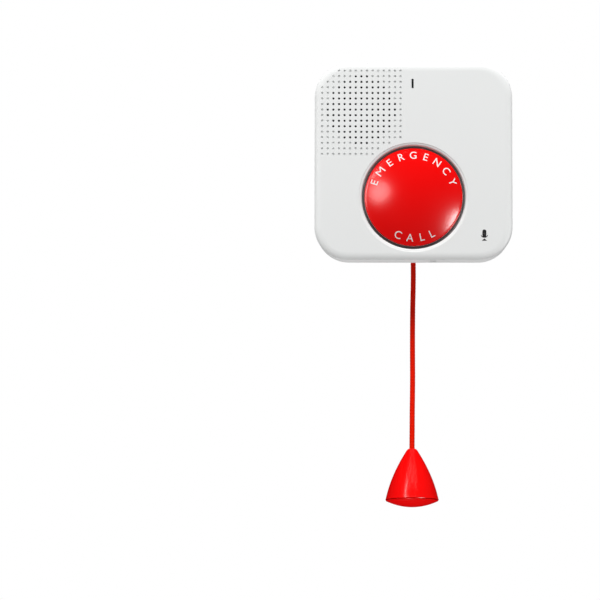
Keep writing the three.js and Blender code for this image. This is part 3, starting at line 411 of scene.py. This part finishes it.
def button_opening():
    profile = [(AXIS, -OVERRUN), (OPENING + LEAD_IN_EDGE + OVERRUN, -OVERRUN), (OPENING + LEAD_IN_EDGE, 0)]
    for k in range(LEAD_IN_STEPS + 1):
        a = k / LEAD_IN_STEPS * math.pi / 2
        profile.append((OPENING + LEAD_IN_WIDTH * (1 - math.sin(a)),
                        LEAD_IN_START + LEAD_IN_DEPTH * (1 - math.cos(a))))
    profile += [(OPENING, COLLAR_DEPTH), (AXIS, COLLAR_DEPTH)]
    return lathe_data(profile, 0, BUTTON_Z, segments=128)


def slit_opening():
    slit = rounded_rectangle(SLIT_HALF_WIDTH, SLIT_HALF_HEIGHT, SLIT_CORNER, steps=6)
    outline = [(x + SLIT_X, z + SLIT_Z) for x, z in slit]
    return loft_data([(y, outline) for y in (-OVERRUN, SHELL_WALL + OVERRUN)])


def screw_recess(place, way):
    recess = rod_data(RECESS_RADIUS, HALF - RECESS_DEPTH, HALF + OVERRUN, *place, segments=32)
    return turned_to_side(recess, way)


verts, faces = loft_data(shell_sections())
shell = mesh_object("call_shell", verts, faces, FACE)
inside = shell_outline(SIDE_WALL)
carve(shell, [
    loft_data([(SHELL_WALL, inside), (SHELL_DEPTH + OVERRUN, inside)]),
    *grille_holes(),
    rod_data(SPEAKER_POCKET, GRILLE_WALL, SHELL_WALL + OVERRUN, GRILLE_X, GRILLE_Z, segments=64),
    button_opening(),
    slit_opening(),
    rod_data(MIC_HOLE, -OVERRUN, SHELL_WALL + OVERRUN, MIC_X, MIC_Z, segments=20),
    screw_recess(SIDE_SCREW, "x"),
    screw_recess(BOTTOM_SCREW, "z"),
])
tidy_normals(shell, smooth=28)
even_normals(shell)
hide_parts("front_shell")

# Button

CROWN, EDGE, EDGE_ROUND = 5.2, -0.2, 0.7
DOME_STEPS, EDGE_STEPS, DOME_SEGMENTS = 32, 8, 160
SKIRT = [(BUTTON_RADIUS, 14.2), (33.8, 14.2), (33.8, 15.4), (30.0, 15.4), (30.0, 2.0), (AXIS, -3.2)]
REACH_R = BUTTON_RADIUS - EDGE_ROUND
BALL = (REACH_R * REACH_R + CROWN * CROWN) / (2 * CROWN)


def dome_depth(radius):
    return EDGE - CROWN + BALL - math.sqrt(BALL * BALL - radius * radius)


radii = [REACH_R * k / DOME_STEPS for k in range(DOME_STEPS + 1)]
profile = [(max(radius, AXIS), dome_depth(radius)) for radius in radii]
for k in range(1, EDGE_STEPS + 1):
    a = k / EDGE_STEPS * math.pi / 2
    profile.append((REACH_R + EDGE_ROUND * math.sin(a), EDGE + EDGE_ROUND * (1 - math.cos(a))))
verts, faces = lathe_data(profile + SKIRT, 0, BUTTON_Z, DOME_SEGMENTS)
dome = mesh_object("palm_button", verts, faces, FACE, "call_button", smooth=50)
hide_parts("button_dome")

RING_EDGE, RING_SHOULDER, RING_CROWN, RING_BEVEL = 1.9, 1.62, 1.55, 0.25
RING_FLANGE, RING_SEAT, RING_BACK = 35.8, 12.3, 13.5
ring_in = BUTTON_RADIUS + GAP
ring_out = ring_in + RING_WIDTH
profile = [
    (ring_in, RING_EDGE),
    (ring_in + RING_BEVEL, RING_SHOULDER),
    (ring_in + RING_WIDTH / 2, RING_CROWN),
    (ring_out - RING_BEVEL, RING_SHOULDER),
    (ring_out, RING_EDGE),
    (ring_out, RING_SEAT),
    (RING_FLANGE, RING_SEAT),
    (RING_FLANGE, RING_BACK),
    (ring_in, RING_BACK),
]
verts, faces = lathe_data(profile, 0, BUTTON_Z, DOME_SEGMENTS)
ring = mesh_object("button_surround", verts, faces, FACE, smooth=50)
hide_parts("trim_ring")

# Letters on the dome

WIDE_M = 1.22
CAP_SHARE = 0.7  # height of a capital as a share of its font size
LETTER_HEIGHT, LETTER_WEIGHT, WEIGHT_OF_M = 4.9, 0.015, -0.03
INK_LIFT = 0.05


def letter(char, angle, radius, inward, name):
    """One raised-ink letter, turned to read round the dome and laid on its surface."""
    curve = bpy.data.curves.new(name, "FONT")
    curve.body = char
    curve.size = LETTER_HEIGHT / CAP_SHARE
    curve.align_x = "CENTER"
    curve.offset = WEIGHT_OF_M if char == "M" else LETTER_WEIGHT
    curve.resolution_u = 6
    text = bpy.data.objects.new(name, curve)
    bpy.context.scene.collection.objects.link(text)
    mesh = bpy.data.meshes.new_from_object(text.evaluated_get(bpy.context.evaluated_depsgraph_get()))
    bpy.data.objects.remove(text)
    bm = bmesh.new()
    bm.from_mesh(mesh)
    bmesh.ops.subdivide_edges(bm, edges=bm.edges, cuts=1)
    for v in bm.verts:
        x, y = v.co.x * (WIDE_M if char == "M" else 1), v.co.y - LETTER_HEIGHT / 2
        reach = radius + y if inward else radius - y
        side = 1 if inward else -1
        px = x * math.cos(angle) + reach * math.sin(angle)
        pz = side * (reach * math.cos(angle) - x * math.sin(angle))
        v.co = FACE @ Vector((px, dome_depth(math.hypot(px, pz)) - INK_LIFT, pz + BUTTON_Z))
    bm.to_mesh(mesh)
    bm.free()
    obj = bpy.data.objects.new(name, mesh)
    bpy.context.scene.collection.objects.link(obj)
    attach(obj, "call_button")
    return obj


TOP_RADIUS, TOP_START, TOP_STEP = 27.4, -70, 17.4
BOTTOM_RADIUS, BOTTOM_ANGLES = 26.9, (-22, -5, 11.5, 26)
letters = []
for n, char in enumerate("EMERGENCY"):
    turn = math.radians(TOP_START + TOP_STEP * n)
    letters.append(letter(char, turn, TOP_RADIUS, True, f"top_letter_{n + 1}"))
for n, (char, degrees) in enumerate(zip("CALL", BOTTOM_ANGLES)):
    turn = math.radians(degrees)
    letters.append(letter(char, turn, BOTTOM_RADIUS, False, f"bottom_letter_{n + 1}"))

# Microphone mark

CAPSULE_HALF_WIDTH, CAPSULE_HALF_HEIGHT, CAPSULE_HOLE = 1.3, 2.7, 0.46
BRACKET_RADIUS, BRACKET_WIDTH, BRACKET_DROP, BRACKET_STEPS = 2.2, 0.42, 0.4, 16
FOOT_HALF_WIDTH, FOOT_LOW, FOOT_TOP = 1.7, 4.7, 3.2  # the foot's reach below the mark's middle
MARK_LIFT = 0.04


def flat_mark(name, outlines):
    verts, faces = [], []
    for outline in outlines:
        base = len(verts)
        verts += [(x, -MARK_LIFT, z) for x, z in outline]
        faces.append([base + i for i in range(len(outline))])
    return mesh_object(name, verts, faces, FACE)


def mic_bracket(start, end):
    """A band of the ring round the capsule, between two angles in degrees."""
    z = MIC_Z - BRACKET_DROP
    turns = [math.radians(start + (end - start) * k / BRACKET_STEPS) for k in range(BRACKET_STEPS + 1)]
    sides = []
    for radius in (BRACKET_RADIUS + BRACKET_WIDTH / 2, BRACKET_RADIUS - BRACKET_WIDTH / 2):
        sides.append([(MIC_X + radius * math.cos(a), z + radius * math.sin(a)) for a in turns])
    outer, inner = sides
    return outer + inner[::-1]


def mic_capsule():
    """The capsule as faces between its outline and the round hole in its middle."""
    ring = rounded_rectangle(CAPSULE_HALF_WIDTH, CAPSULE_HALF_HEIGHT, CAPSULE_HALF_WIDTH - 0.01, steps=10)
    scale = [CAPSULE_HOLE / math.hypot(x, z) for x, z in ring]
    inner = [(x * k, z * k) for (x, z), k in zip(ring, scale)]
    faces = []
    for i in range(len(ring)):
        j = (i + 1) % len(ring)
        faces.append([ring[i], ring[j], inner[j], inner[i]])
    return [[(MIC_X + x, MIC_Z + z) for x, z in face] for face in faces]


mic_foot = [(MIC_X - FOOT_HALF_WIDTH, MIC_Z - FOOT_LOW), (MIC_X + FOOT_HALF_WIDTH, MIC_Z - FOOT_LOW),
            (MIC_X, MIC_Z - FOOT_TOP)]
mic_mark = flat_mark("microphone_mark", [
    *mic_capsule(),
    mic_bracket(195, 258),
    mic_bracket(282, 345),
    mic_foot,
])

# Other visible nodes

SHARP_ANGLE = 32  # degrees above which a carried-over edge stays sharp
SOFT_EDGE = 0.25


def refined(node, name, body):
    """A copy of a CAD node with flat faces joined, edges softened and curves shaded smooth."""
    mesh = frame["nodes"][node].data.copy()
    mesh.name = name
    obj = bpy.data.objects.new(name, mesh)
    bpy.context.scene.collection.objects.link(obj)
    bm = bmesh.new()
    bm.from_mesh(mesh)
    bmesh.ops.remove_doubles(bm, verts=bm.verts, dist=2e-6)
    bmesh.ops.dissolve_limit(bm, angle_limit=math.radians(0.6), verts=bm.verts, edges=bm.edges)
    bm.to_mesh(mesh)
    bm.free()
    tidy_normals(obj, SHARP_ANGLE)
    edge = obj.modifiers.new("soft edges", "BEVEL")
    edge.limit_method = "ANGLE"
    edge.angle_limit = math.radians(SHARP_ANGLE + 6)
    edge.width = SOFT_EDGE * MM
    edge.segments = 2
    edge.use_clamp_overlap = True
    edge.harden_normals = True
    even_normals(obj)
    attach(obj, body)
    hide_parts(node)
    return obj


housing = refined("rear_housing", "rear_case", "station")
cradle = refined("wall_cradle", "wall_mount_cradle", "station")
plunger = refined("pull_plunger", "pull_plunger_disc", "pull")

# Materials


def material(name, color, roughness, metalness=0.0, specular=0.5, bump=0.0,
             tone=0.03, wear=0.06, scale=900.0):
    """A moulded or metal surface: fine grain in the height, slow drift in tone and shine."""
    mat = bpy.data.materials.new(name)
    mat.use_nodes = True
    nodes, links = mat.node_tree.nodes, mat.node_tree.links
    shader = nodes["Principled BSDF"]
    shader.inputs["Metallic"].default_value = metalness
    shader.inputs["Specular IOR Level"].default_value = specular
    place = nodes.new("ShaderNodeTexCoord")
    slow = nodes.new("ShaderNodeTexNoise")
    slow.inputs["Scale"].default_value = 22.0
    slow.inputs["Detail"].default_value = 4.0
    links.new(place.outputs["Object"], slow.inputs["Vector"])
    mix = nodes.new("ShaderNodeMixRGB")
    mix.inputs["Color1"].default_value = (*[c * (1 - tone) for c in color], 1)
    mix.inputs["Color2"].default_value = (*[min(c * (1 + tone), 1) for c in color], 1)
    links.new(slow.outputs["Fac"], mix.inputs["Fac"])
    links.new(mix.outputs["Color"], shader.inputs["Base Color"])
    shine = nodes.new("ShaderNodeMapRange")
    shine.inputs["To Min"].default_value = max(roughness - wear, 0.02)
    shine.inputs["To Max"].default_value = roughness + wear
    links.new(slow.outputs["Fac"], shine.inputs["Value"])
    links.new(shine.outputs["Result"], shader.inputs["Roughness"])
    fine = nodes.new("ShaderNodeTexNoise")
    fine.inputs["Scale"].default_value = scale
    fine.inputs["Detail"].default_value = 6.0
    links.new(place.outputs["Object"], fine.inputs["Vector"])
    height = nodes.new("ShaderNodeBump")
    height.inputs["Strength"].default_value = bump
    height.inputs["Distance"].default_value = 0.0002
    links.new(fine.outputs["Fac"], height.inputs["Height"])
    links.new(height.outputs["Normal"], shader.inputs["Normal"])
    return mat


def braid_material(name, light, dark):
    """Strands that cross both ways round the cord, with painted light on their tops and painted shade
    between them.
    """
    mat = bpy.data.materials.new(name)
    mat.use_nodes = True
    nodes, links = mat.node_tree.nodes, mat.node_tree.links
    shader = nodes["Principled BSDF"]
    shader.inputs["Roughness"].default_value = 0.75
    shader.inputs["Specular IOR Level"].default_value = 0.04
    uv = nodes.new("ShaderNodeUVMap")
    uv.uv_map = "braid"
    waves = []
    for turn in (1, -1):
        mapping = nodes.new("ShaderNodeMapping")
        mapping.inputs["Rotation"].default_value = (0, 0, turn * math.radians(38))
        links.new(uv.outputs["UV"], mapping.inputs["Vector"])
        wave = nodes.new("ShaderNodeTexWave")
        wave.inputs["Scale"].default_value = 3.2
        wave.inputs["Distortion"].default_value = 0.4
        links.new(mapping.outputs["Vector"], wave.inputs["Vector"])
        waves.append(wave)
    # The product of the two waves paints light on the strands' crests and shade between them; the noise
    # adds random tone.
    cross = nodes.new("ShaderNodeMath")
    cross.operation = "MULTIPLY"
    links.new(waves[0].outputs["Fac"], cross.inputs[0])
    links.new(waves[1].outputs["Fac"], cross.inputs[1])
    noise = nodes.new("ShaderNodeTexNoise")
    noise.inputs["Scale"].default_value = 16.0
    noise.inputs["Detail"].default_value = 5.0
    links.new(uv.outputs["UV"], noise.inputs["Vector"])
    add = nodes.new("ShaderNodeMath")
    add.operation = "MULTIPLY_ADD"
    add.inputs[1].default_value = 0.5
    links.new(noise.outputs["Fac"], add.inputs[0])
    links.new(cross.outputs[0], add.inputs[2])
    mix = nodes.new("ShaderNodeMixRGB")
    mix.inputs["Color1"].default_value = (*dark, 1)
    mix.inputs["Color2"].default_value = (*light, 1)
    links.new(add.outputs[0], mix.inputs["Fac"])
    links.new(mix.outputs["Color"], shader.inputs["Base Color"])
    height = nodes.new("ShaderNodeBump")
    height.inputs["Strength"].default_value = 0.8
    height.inputs["Distance"].default_value = 0.0004
    links.new(add.outputs[0], height.inputs["Height"])
    links.new(height.outputs["Normal"], shader.inputs["Normal"])
    return mat


def paint(obj, mat):
    obj.data.materials.clear()
    obj.data.materials.append(mat)


WHITE = material("white moulded plastic", (0.80, 0.81, 0.805), 0.42, specular=0.35, bump=0.05, tone=0.006)
GREY = material("light grey moulded plastic", (0.60, 0.61, 0.605), 0.5, specular=0.4, bump=0.12, tone=0.012)
RED = material("red moulded plastic", (0.84, 0.0, 0.0), 0.20, specular=0.45, bump=0.03, tone=0.02,
               wear=0.04)
RING = material("gunmetal plastic", (0.085, 0.09, 0.09), 0.32, bump=0.05, tone=0.05)
INK = material("white ink", (0.86, 0.78, 0.78), 0.5, specular=0.3, bump=0.04, tone=0.01)
BLACK_INK = material("black ink", (0.012, 0.012, 0.013), 0.5, specular=0.3, bump=0.04, tone=0.05)
# The braid's two colours are one red, lit and shaded: the lighter is painted light on the strands, the
# darker is painted shade between them.
CORD = braid_material("red braid", (0.95, 0.014, 0.001), (0.70, 0.007, 0.0005))
NODE_MATERIALS = {
    "grey_plastic": GREY,
    "red_plastic": RED,
    "steel": material("plated steel", (0.5, 0.51, 0.52), 0.3, metalness=1.0, bump=0.06, tone=0.04),
    "black_plastic": material("black plastic", (0.012, 0.013, 0.013), 0.5, bump=0.1, tone=0.1),
    "natural_plastic": material("natural nylon", (0.72, 0.70, 0.62), 0.5, bump=0.08, tone=0.03),
    "clear_plastic": material("smoked light pipe", (0.018, 0.02, 0.022), 0.12, bump=0.02, tone=0.05),
    "rubber": material("black rubber", (0.02, 0.021, 0.023), 0.8, specular=0.3, bump=0.2, tone=0.1),
    "cloth": material("black grille cloth", (0.004, 0.004, 0.005), 0.95, specular=0.05, bump=0.5, tone=0.2,
                      scale=2500.0),
    "cone": material("pressed paper", (0.024, 0.024, 0.024), 0.9, specular=0.1, bump=0.4, tone=0.1),
    "board": material("green solder mask", (0.012, 0.1, 0.034), 0.4, bump=0.1, tone=0.1),
    "cell_jacket": material("blue cell sleeve", (0.03, 0.11, 0.32), 0.35, bump=0.05, tone=0.05),
    "red_cord": CORD,
}
paint(shell, WHITE)
paint(dome, RED)
paint(ring, RING)
paint(handle, RED)
paint(handle_base, RED)
paint(cord, CORD)
for obj in letters:
    paint(obj, INK)
paint(mic_mark, BLACK_INK)
paint(housing, GREY)
paint(cradle, GREY)
paint(plunger, RED)
slots = {entry["node"]: entry["material_slot"] for entry in frame["record"]["subparts"]}
for node, obj in frame["nodes"].items():
    mat = NODE_MATERIALS.get(slots[node])
    if mat:
        for slot in obj.material_slots:
            slot.material = mat

# Light

SKY_LOW, SKY_HIGH, SKY_IN_GLOSS = 0.37, 0.43, 0.01
world = bpy.data.worlds.new("studio")
bpy.context.scene.world = world
world.use_nodes = True
nodes, links = world.node_tree.nodes, world.node_tree.links
nodes.clear()
place = nodes.new("ShaderNodeTexCoord")
split = nodes.new("ShaderNodeSeparateXYZ")
links.new(place.outputs["Generated"], split.inputs["Vector"])
ramp = nodes.new("ShaderNodeMapRange")
ramp.inputs["From Min"].default_value = -1.0
ramp.inputs["From Max"].default_value = 1.0
ramp.inputs["To Min"].default_value = SKY_LOW
ramp.inputs["To Max"].default_value = SKY_HIGH
links.new(split.outputs["Z"], ramp.inputs["Value"])
soft = nodes.new("ShaderNodeBackground")
soft.inputs["Color"].default_value = (1, 1, 1, 1)
links.new(ramp.outputs["Result"], soft.inputs["Strength"])
dim = nodes.new("ShaderNodeBackground")
dim.inputs["Strength"].default_value = SKY_IN_GLOSS
plain = nodes.new("ShaderNodeBackground")
plain.inputs["Color"].default_value = (1, 1, 1, 1)
plain.inputs["Strength"].default_value = 1.0
path = nodes.new("ShaderNodeLightPath")
glossy = nodes.new("ShaderNodeMixShader")
links.new(path.outputs["Is Glossy Ray"], glossy.inputs["Fac"])
links.new(soft.outputs["Background"], glossy.inputs[1])
links.new(dim.outputs["Background"], glossy.inputs[2])
seen = nodes.new("ShaderNodeMixShader")
links.new(path.outputs["Is Camera Ray"], seen.inputs["Fac"])
links.new(glossy.outputs["Shader"], seen.inputs[1])
links.new(plain.outputs["Background"], seen.inputs[2])
out = nodes.new("ShaderNodeOutputWorld")
links.new(seen.outputs["Shader"], out.inputs["Surface"])


def softbox(name, way, distance, target, size, radiance, diffuse=True, glossy=True, shape="RECTANGLE"):
    """An area light that lies in a direction from its target, in the face frame, at a given radiance."""
    data = bpy.data.lights.new(name, "AREA")
    data.shape = shape
    data.size, data.size_y = size
    data.energy = radiance * size[0] * size[1] * math.pi
    lamp = bpy.data.objects.new(name, data)
    bpy.context.scene.collection.objects.link(lamp)
    towards = (FACE.to_3x3() @ Vector(way)).normalized()
    lamp.location = FACE @ Vector(target) + towards * distance
    lamp.rotation_mode = "QUATERNION"
    lamp.rotation_quaternion = (-towards).to_track_quat("-Z", "Y")
    lamp.visible_diffuse = diffuse
    lamp.visible_glossy = glossy


DOME = (0, -4, BUTTON_Z)
softbox("top softbox", (-0.03, -0.46, 0.89), 2.6, DOME, (2.2, 1.3), 10.8, glossy=False)
softbox("low softbox", (0.0, 0.16, -0.987), 1.2, DOME, (1.0, 0.6), 5.0, glossy=False)
softbox("left highlight", (-0.474, -0.85, 0.207), 0.9, DOME, (0.27, 0.27), 7.3, diffuse=False,
        shape="ELLIPSE")
softbox("right highlight", (0.63, -0.765, -0.235), 0.9, DOME, (0.24, 0.34), 22.0, diffuse=False,
        shape="ELLIPSE")
softbox("handle highlight", (-0.42, -0.55, 0.62), 0.9, (0, 20, -195), (0.035, 0.30), 22.0, diffuse=False)

bpy.context.scene.view_settings.view_transform = "Standard"
